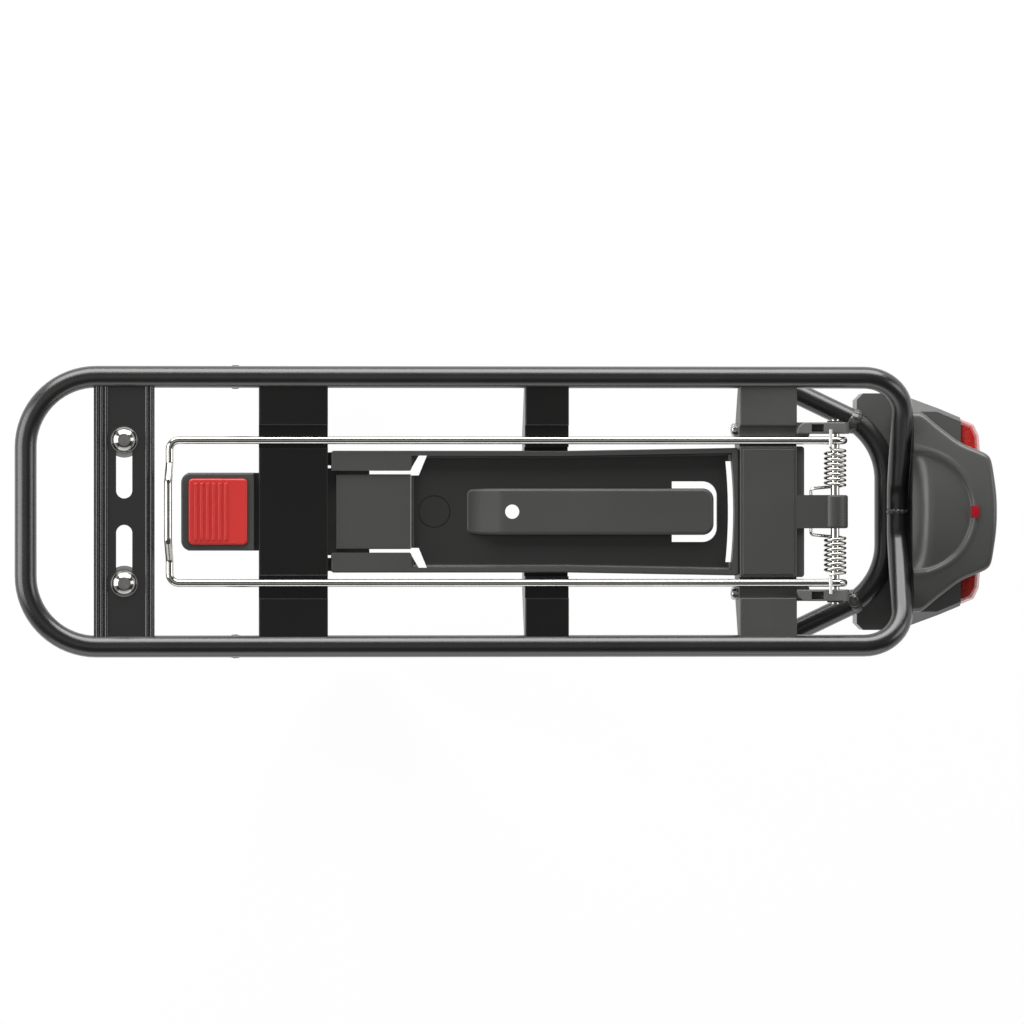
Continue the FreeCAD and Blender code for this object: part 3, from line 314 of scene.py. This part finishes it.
# A straight bead joins the loop to the crossbar above it.
seam_dabs, seam_pitch = 13, 1.4
seam_x, seam_z = 398.2, -32.2
seam_lean = Matrix.Rotation(math.radians(20), 4, "Z")
for index in range(seam_dabs):
    seam_y = (index - (seam_dabs - 1) / 2) * seam_pitch
    weld_dab(beads, on_deck(seam_x, seam_y, seam_z), seam_lean, size_mm=(2.0, 1.1, 2.0))

# Weld under a thin coat: smoother than the rod, with its own ripple, and a lighter grey that is a painted
# highlight.
coated_weld = finish_of("coated_weld_painted_highlight", "#4A4A48", "#5C5C59", patch_mm=3, rough=(0.18, 0.26),
                        relief_mm=0.6, height_mm=0.01, sockets={"Metallic": 0.35})
welds = new_piece("weld_dabs", beads, coated_weld, "rack", sharp_deg=60)
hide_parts("weld_beads")

# ---------------------------------------------------------------------------
# Cross plates. Aluminium extrusions, sawn and black anodised: flatter than
# the rods, with faint die lines along their length. Each is dyed its own black.
# ---------------------------------------------------------------------------

die_lines = {"relief_mm": 0.30, "drawn": (1, 0.02, 1)}             # drawn out across the rack

# Plain anodising: a dark grey with an even satin.
black_anodising = finish_of("black_anodised_extrusion", "#414140", "#474745", patch_mm=40,
                            rough=(0.42, 0.50), height_mm=0.003, **die_lines)
give(black_anodising, "rear_plate", "light_bracket")
# The front plate comes from a denser dye bath: darker and smoother, so its beads draw bright lines.
deep_anodising = finish_of("deep_black_anodised_extrusion", "#121212", "#171716", patch_mm=40,
                           rough=(0.24, 0.28), height_mm=0.0007, **die_lines,
                           sockets={"Specular IOR Level": 0.8})
give(deep_anodising, "front_plate")
# The plates that hold the tray are brushed before the bath: nearly black, with less gloss.
brushed_anodising = finish_of("brushed_black_anodising", "#0E0E0E", "#131312", patch_mm=40,
                              rough=(0.26, 0.32), height_mm=0.003, **die_lines,
                              sockets={"Specular IOR Level": 0.32})
give(brushed_anodising, "button_plate", "middle_plate")

# ---------------------------------------------------------------------------
# Screws, washers and nuts. Cold-formed steel, some of it stainless and
# tumbled, some of it zinc plated: bright, with fine marks and soft edges.
# ---------------------------------------------------------------------------

# Stainless steel, tumbled: mirror-like at a distance, with scratches finer than half a millimetre.
bright_steel = finish_of("tumbled_stainless_steel", "#B4B4B1", "#C8C8C5", patch_mm=5, rough=(0.18, 0.30),
                         relief_mm=0.4, height_mm=0.004, sockets={"Metallic": 1.0})
# The stay screws are zinc plated, a greyer mirror that shows the dim room above them.
zinc_plate = finish_of("zinc_plated_steel", "#8E8D8A", "#A5A4A0", patch_mm=4, rough=(0.12, 0.20),
                       relief_mm=0.5, height_mm=0.005, sockets={"Metallic": 1.0})
for side, _ in sides:
    give(zinc_plate, f"{side}_stay_screw")
    give(bright_steel, f"{side}_stay_washer", f"{side}_stay_nut")
give(bright_steel, "tray_front_screws", "tray_middle_screws", "saddle_screws", "ear_screws", "light_screws")

# ---------------------------------------------------------------------------
# Adapter tray, release lever and saddle. Glass-filled polyamide, moulded in
# black with a fine spark-eroded texture, which makes it an even dark grey.
# ---------------------------------------------------------------------------

eroded_mould = {"dark": "#3C3C3B", "light": "#424240", "patch_mm": 60, "rough": (0.42, 0.50),
                "relief_mm": 0.45, "height_mm": 0.008}

# Polyamide from an eroded mould: grains of about 0.45 mm, 8 micrometres deep.
moulded_black = finish_of("moulded_black_polyamide", **eroded_mould)
give(moulded_black, "release_lever", "clamp_saddle")

# The tray's floor is painted darker than its pads and hump: painted shade, for the shade that its walls and
# hump cast on it.
floor_level, pad_level = -3.2, -1.6             # heights between which the painted shade fades out
moulded_tray = finish_of("moulded_black_polyamide_tray", **eroded_mould)
tree = moulded_tray.node_tree
shade = tree.nodes["Principled BSDF"]
even = shade.inputs["Base Color"].links[0].from_socket
place = add_node(tree, "ShaderNodeTexCoord")
level = add_node(tree, "ShaderNodeSeparateXYZ", links={"Vector": place.outputs["Object"]})
above = add_node(tree, "ShaderNodeMapRange", links={
    "Value": level.outputs["Z"], "From Min": on_deck(0, 0, floor_level).z,
    "From Max": on_deck(0, 0, pad_level).z})
# A colour mix takes its two colours at inputs 6 and 7, and gives their mix at output 2.
# The darker colour mixed in here is painted shade on the floor.
painted_floor_shade = add_node(tree, "ShaderNodeMix", {"data_type": "RGBA"},
                    {0: above.outputs["Result"], 6: linear("#222221"), 7: even})
tree.links.new(painted_floor_shade.outputs[2], shade.inputs["Base Color"])
give(moulded_tray, "adapter_tray")

# ---------------------------------------------------------------------------
# Release button. Red polypropylene, moulded with six finger ribs and snapped
# into the lever.
# ---------------------------------------------------------------------------

# Polypropylene: a little shinier than the polyamide, with the colour even all through.
moulded_red = finish_of("moulded_red_polypropylene", "#BE2C28", "#C4302C", patch_mm=60, rough=(0.34, 0.42),
                        relief_mm=0.45, height_mm=0.006)
give(moulded_red, "release_button")

# ---------------------------------------------------------------------------
# Hinge ears. Die-cast aluminium arms, black anodised like the plates, screwed
# to the rear plate's front flange.
# ---------------------------------------------------------------------------

# Castings keep a slightly grainier skin than the extrusions. Their grey is painted lighter than the
# plates': painted light that makes up for the shade falling on the ears.
black_casting = finish_of("black_cast_aluminium", "#5C5C5B", "#646462", patch_mm=12, rough=(0.40, 0.52),
                          relief_mm=0.6, height_mm=0.012)
give(black_casting, "right_hinge_ear", "left_hinge_ear")

# ---------------------------------------------------------------------------
# Spring bail, its shaft, clips and torsion springs. Drawn and polished
# spring wire, bent cold: mirror bright, with drawing marks along the wire.
# ---------------------------------------------------------------------------

# Nickel-plated wire: bright, a little warm, with marks drawn out along it.
polished_wire = finish_of("nickel_plated_spring_wire", "#BFBDB8", "#CFCDC8", patch_mm=10,
                          rough=(0.10, 0.18), relief_mm=0.4, height_mm=0.004, drawn=(0.03, 1, 1),
                          sockets={"Metallic": 1.0})
give(polished_wire, "bail_shaft", "right_torsion_spring", "left_torsion_spring", "spring_bail")
# The clips are phosphated: dull dark grey crystals, so they don't glitter at the ears.
phosphated_steel = finish_of("phosphated_spring_steel", "#2A2A2A", "#343433", patch_mm=3, rough=(0.45, 0.6),
                             relief_mm=0.3, height_mm=0.006, sockets={"Metallic": 0.5})
give(phosphated_steel, "shaft_clips")

# ---------------------------------------------------------------------------
# Tail light housing. Moulded ABS box with wings under the struts. A narrow
# facet slopes down along each of its sides.
# ---------------------------------------------------------------------------

# ABS from a satin mould, a touch smoother than the polyamide. Its grey is painted lighter than the hood's:
# painted light, lifting the shade that the frame casts on the box.
satin_mould = {"patch_mm": 50, "rough": (0.27, 0.35), "relief_mm": 0.5, "height_mm": 0.006}
moulded_pale_grey = finish_of("moulded_grey_abs_box", "#525251", "#595958", **satin_mould)

facet_foot = (428.5, 41.4, -24.0)               # where the right facet leaves the flat top
facet_way = (9.1, 22.0)                         # the way that it looks, in plan
facet_tilt = math.radians(60)                   # of its normal, from upright
shell = bmesh.new()
shell.from_mesh(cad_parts["light_housing"].data)
bmesh.ops.remove_doubles(shell, verts=shell.verts, dist=1e-6)
bmesh.ops.dissolve_limit(shell, angle_limit=math.radians(0.5), verts=shell.verts, edges=shell.edges)
for _, sign in sides:
    outward = Vector((facet_way[0], sign * facet_way[1], 0)).normalized()
    normal = outward * math.sin(facet_tilt) + Vector((0, 0, math.cos(facet_tilt)))
    x, y, z = facet_foot
    cut = bmesh.ops.bisect_plane(shell, geom=shell.verts[:] + shell.edges[:] + shell.faces[:], dist=1e-7,
                                 plane_co=on_deck(x, sign * y, z), plane_no=normal, clear_outer=True)
    rim = [part for part in cut["geom_cut"] if isinstance(part, bmesh.types.BMEdge)]
    bmesh.ops.edgeloop_fill(shell, edges=rim)
bmesh.ops.recalc_face_normals(shell, faces=shell.faces)
housing = new_piece("light_housing_shell", shell, moulded_pale_grey, "rack", sharp_deg=25)
# The CAD mesh's own normals came with it, and don't fit the new facets.
stored = housing.data.attributes.get("custom_normal")
if stored:
    housing.data.attributes.remove(stored)
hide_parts("light_housing")

# ---------------------------------------------------------------------------
# Tail light hood. Moulded ABS cover over the housing: crowned from side to
# side, with a D-shaped dish that rolls down at the front.
# ---------------------------------------------------------------------------

hood_front, hood_side = 405.3, 46.0
hood_half = [(hood_front, hood_side), (409.3, hood_side), (416.2, 39.9), (425.3, 32.8), (429.6, 30.4),
             (434.4, 28.5), (438.5, 26.7), (440.4, 24.9), (441.3, 22.0), (442.9, 10.4), (443.3, 4.0)]
corner_share = 0.2                              # of each line, cut off when its corners are softened
hood_top, hood_bottom = -7.0, -24.0
hood_crown = 7.0                                # how far its sides lie below its middle
hood_edge = 2.4                                 # radius of the rounded edge
dish_reach, dish_half = 27.5, 28.0              # half sizes of the dish, along x and y
dish_step, dish_depth = 1.7, 1.7                # width and height of the step down into it
dish_rise = 0.9                                 # how far its middle comes up again
lip_height, lip_width, lip_gap = 0.35, 0.8, 0.9                    # faint lip round the dish
roll_length, roll_depth = 9.0, 8.5              # the dish's roll down at the front
hood_wall = 2.0

outline = [(x, -y) for x, y in hood_half] + hood_half[::-1]
for _ in range(2):                              # soften the corners, keeping both front ends
    softened = [outline[0]]
    for (x0, y0), (x1, y1) in zip(outline, outline[1:]):
        softened += [((1 - share) * x0 + share * x1, (1 - share) * y0 + share * y1)
                     for share in (corner_share, 1 - corner_share)]
    outline = softened + [outline[-1]]
lengths = [math.dist(a, b) for a, b in zip(outline, outline[1:])]


def along_outline(share):
    """The outline's point at that share of its length."""
    left = share * sum(lengths)
    for (x0, y0), (x1, y1), length in zip(outline, outline[1:], lengths):
        if left <= length or (x1, y1) == outline[-1]:
            t = min(left / length, 1.0)
            return x0 + (x1 - x0) * t, y0 + (y1 - y0) * t
        left -= length


def smooth_step(t):
    t = min(max(t, 0.0), 1.0)
    return t * t * (3 - 2 * t)


def hood_height(x, y, inside):
    """Height of the hood's top. inside is the distance in from the dish's edge, negative outside it."""
    z = hood_top - hood_crown * (y / hood_side) ** 2
    z += lip_height * math.exp(-((inside + lip_gap) / lip_width) ** 2)
    z -= dish_depth * smooth_step(inside / dish_step)
    if inside > 0:
        z += dish_rise * smooth_step(inside / dish_half)
        roll = max(0.0, 1 - (x - hood_front) / roll_length)
        z -= roll_depth * roll ** 2 * math.sqrt(max(0.0, 1 - (y / dish_half) ** 2))
    return z


# A grid is bent into a fan of half rings round the middle of the hood's front edge. From the
# centre out they cross the dish, its step, the flat round it, and the rounded outer edge.
spokes, dish_rings, step_rings, flat_rings, edge_rings = 180, 26, 8, 14, 6
rings = dish_rings + step_rings + flat_rings + edge_rings
top = bmesh.new()
bmesh.ops.create_grid(top, x_segments=rings, y_segments=spokes, size=0.5)
for vertex in top.verts:
    ring = round((vertex.co.x + 0.5) * rings)
    edge_x, edge_y = along_outline(min(max(vertex.co.y + 0.5, 0.0), 1.0))
    whole = math.hypot(edge_x - hood_front, edge_y)
    way_x, way_y = (edge_x - hood_front) / whole, edge_y / whole
    dish = 1 / math.hypot(way_x / dish_reach, way_y / dish_half)
    drop = 0.0
    if ring <= dish_rings:
        far = (dish - dish_step) * ring / dish_rings
    elif ring <= dish_rings + step_rings:
        far = dish - dish_step * (1 - (ring - dish_rings) / step_rings)
    elif ring <= rings - edge_rings:
        far = dish + (whole - hood_edge - dish) * (ring - dish_rings - step_rings) / flat_rings
    else:
        turn = math.radians(90) * (ring - rings + edge_rings) / edge_rings
        far = whole - hood_edge * (1 - math.sin(turn))
        drop = hood_edge * (1 - math.cos(turn))
    x, y = hood_front + way_x * far, way_y * far
    vertex.co = on_deck(x, y, hood_height(x, y, dish - far) - drop)
bmesh.ops.remove_doubles(top, verts=top.verts, dist=1e-5)
border = [edge for edge in top.edges if edge.is_boundary]
skirt = bmesh.ops.extrude_edge_only(top, edges=border)
for part in skirt["geom"]:
    if isinstance(part, bmesh.types.BMVert):
        part.co.z = on_deck(0, 0, hood_bottom).z
bmesh.ops.recalc_face_normals(top, faces=top.faces)
if sum(face.normal.z * face.calc_area() for face in top.faces) < 0:
    bmesh.ops.reverse_faces(top, faces=top.faces)


def thicken(piece, wall_mm):
    """Gives an open shell its wall, grown inwards."""
    wall = piece.modifiers.new("wall", "SOLIDIFY")
    wall.thickness = wall_mm * MM
    wall.offset = -1.0


# The same satin ABS as the box, which is painted a shade lighter.
moulded_grey = finish_of("moulded_dark_grey_abs", "#474746", "#4D4D4C", **satin_mould)
hood = new_piece("light_hood_cover", top, moulded_grey, "rack", sharp_deg=50)
thicken(hood, hood_wall)
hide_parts("light_hood")

# ---------------------------------------------------------------------------
# Tail light lens. Clear red acrylic cover, a curved strip at each corner from
# above, over a row of moulded reflector prisms.
# ---------------------------------------------------------------------------


def mirrored_prism(half, z0, z1):
    """A solid over a plan outline given on its +Y side from front to rear, in deck millimetres."""
    mesh = bmesh.new()
    plan = half + [(x, -y) for x, y in reversed(half)]
    face = mesh.faces.new([mesh.verts.new(on_deck(x, y, z0)) for x, y in plan])
    raised = bmesh.ops.extrude_face_region(mesh, geom=[face])
    tops = [part for part in raised["geom"] if isinstance(part, bmesh.types.BMVert)]
    bmesh.ops.translate(mesh, verts=tops, vec=(0, 0, (z1 - z0) * MM))
    bmesh.ops.recalc_face_normals(mesh, faces=mesh.faces)
    return mesh


def soften(mesh, edges, width_mm, segments):
    bmesh.ops.bevel(mesh, geom=edges, offset=width_mm * MM, offset_type="OFFSET", segments=segments,
                    profile=0.5, affect="EDGES", material=-1, clamp_overlap=True)


lens_front = 428.5                              # its open side, against the housing
lens_half = [(lens_front, 42.6), (434.5, 40.2), (437.0, 34.9), (438.2, 17.5)]
lens_bottom, lens_top, lens_wall = -62.0, -24.3, 1.6
open_x = on_deck(lens_front, 0, 0).x
cover = mirrored_prism(lens_half, lens_bottom, lens_top)
outer = [edge for edge in cover.edges if min(v.co.x for v in edge.verts) > open_x + 0.5 * MM or
         abs(edge.verts[0].co.x - edge.verts[1].co.x) > 1 * MM]
soften(cover, outer, width_mm=0.7, segments=3)
backs = [face for face in cover.faces if all(abs(v.co.x - open_x) < 1e-5 for v in face.verts)]
bmesh.ops.delete(cover, geom=backs, context="FACES")
# Cast acrylic: glass-smooth, deep red, and clear enough to show the prisms behind it.
clear_red, tree = new_material("clear_red_acrylic")
haze = grain(tree, 9.0, detail=3.0)
gloss = add_node(tree, "ShaderNodeMapRange",
                 links={"Value": haze.outputs["Fac"], "To Min": 0.03, "To Max": 0.09})
tone = add_node(tree, "ShaderNodeValToRGB", links={"Fac": haze.outputs["Fac"]})
low, high = tone.color_ramp.elements
low.color, high.color = linear("#CC1C26"), linear("#D8262E")
shade = add_node(tree, "ShaderNodeBsdfPrincipled", links={
    "Base Color": tone.outputs["Color"], "Roughness": gloss.outputs["Result"], "IOR": 1.49, "Alpha": 0.42})
add_node(tree, "ShaderNodeOutputMaterial", links={"Surface": shade.outputs[0]})
lens = new_piece("light_lens_cover", cover, clear_red, "rack", sharp_deg=30)
thicken(lens, lens_wall)
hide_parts("light_lens")

prism_half = [(429.1, 40.3), (433.1, 38.7), (435.1, 34.5), (436.3, 17.5)]
prism_bottom, prism_top = -59.5, -26.2
prisms = mirrored_prism(prism_half, prism_bottom, prism_top)
soften(prisms, prisms.edges[:], width_mm=0.6, segments=2)
# Reflector prisms, 2.2 mm squares in rows: drawn coarse enough to show.
prism_pitch, prism_depth = 2.2, 0.6
prism_red, tree = new_material("moulded_reflector_prisms")
place = add_node(tree, "ShaderNodeTexCoord")
cells = add_node(tree, "ShaderNodeTexVoronoi", {"distance": "CHEBYCHEV"}, {
    "Vector": place.outputs["Object"], "Scale": 1 / (prism_pitch * MM), "Randomness": 0.0})
tone = add_node(tree, "ShaderNodeValToRGB", links={"Fac": cells.outputs["Distance"]})
low, high = tone.color_ramp.elements
low.color, high.color = linear("#FF6A2C"), linear("#C81C22")
bump = add_node(tree, "ShaderNodeBump", links={
    "Height": cells.outputs["Distance"], "Strength": 1.0, "Distance": prism_depth * MM})
shade = add_node(tree, "ShaderNodeBsdfPrincipled", links={
    "Base Color": tone.outputs["Color"], "Roughness": 0.2, "Normal": bump.outputs["Normal"]})
add_node(tree, "ShaderNodeOutputMaterial", links={"Surface": shade.outputs[0]})
new_piece("light_reflector_prisms", prisms, prism_red, "rack", sharp_deg=30)

# ---------------------------------------------------------------------------
# Inside of the tail light and its small parts: the lamp board, its lamps in a
# metallised plate, the sensor's red window, and the rubber cable grommet.
# ---------------------------------------------------------------------------

# Solder resist over glass-fibre board: glossy green with the weave just showing.
solder_resist = finish_of("green_solder_resist", "#14532D", "#1A6236", patch_mm=4, rough=(0.25, 0.35),
                          relief_mm=0.5, height_mm=0.01)
give(solder_resist, "light_circuit_board")
# Lamp packages: milky epoxy.
lamp_epoxy = finish_of("milky_lamp_epoxy", "#E8DCC8", "#F0E6D6", patch_mm=3, rough=(0.2, 0.3),
                       relief_mm=0.4, height_mm=0.004)
give(lamp_epoxy, "light_leds")
# Metallised ABS: a mirror with a faint ripple.
metallised = finish_of("metallised_reflector", "#C8C8C8", "#D8D8D8", patch_mm=8, rough=(0.06, 0.12),
                       relief_mm=3.0, height_mm=0.01, sockets={"Metallic": 1.0})
give(metallised, "light_reflector")
# The sensor's window: tinted acrylic, polished.
window_red = finish_of("red_sensor_window", "#8E1020", "#A4182A", patch_mm=4, rough=(0.08, 0.16),
                       relief_mm=0.8, height_mm=0.004,
                       sockets={"Coat Weight": 1.0, "Coat Roughness": 0.05})
give(window_red, "light_sensor_window")
# Rubber: dull, very dark, with a talc bloom.
black_rubber = finish_of("black_moulded_rubber", "#1A1A1A", "#242423", patch_mm=2, rough=(0.7, 0.85),
                         relief_mm=0.5, height_mm=0.01)
give(black_rubber, "light_cable_grommet")
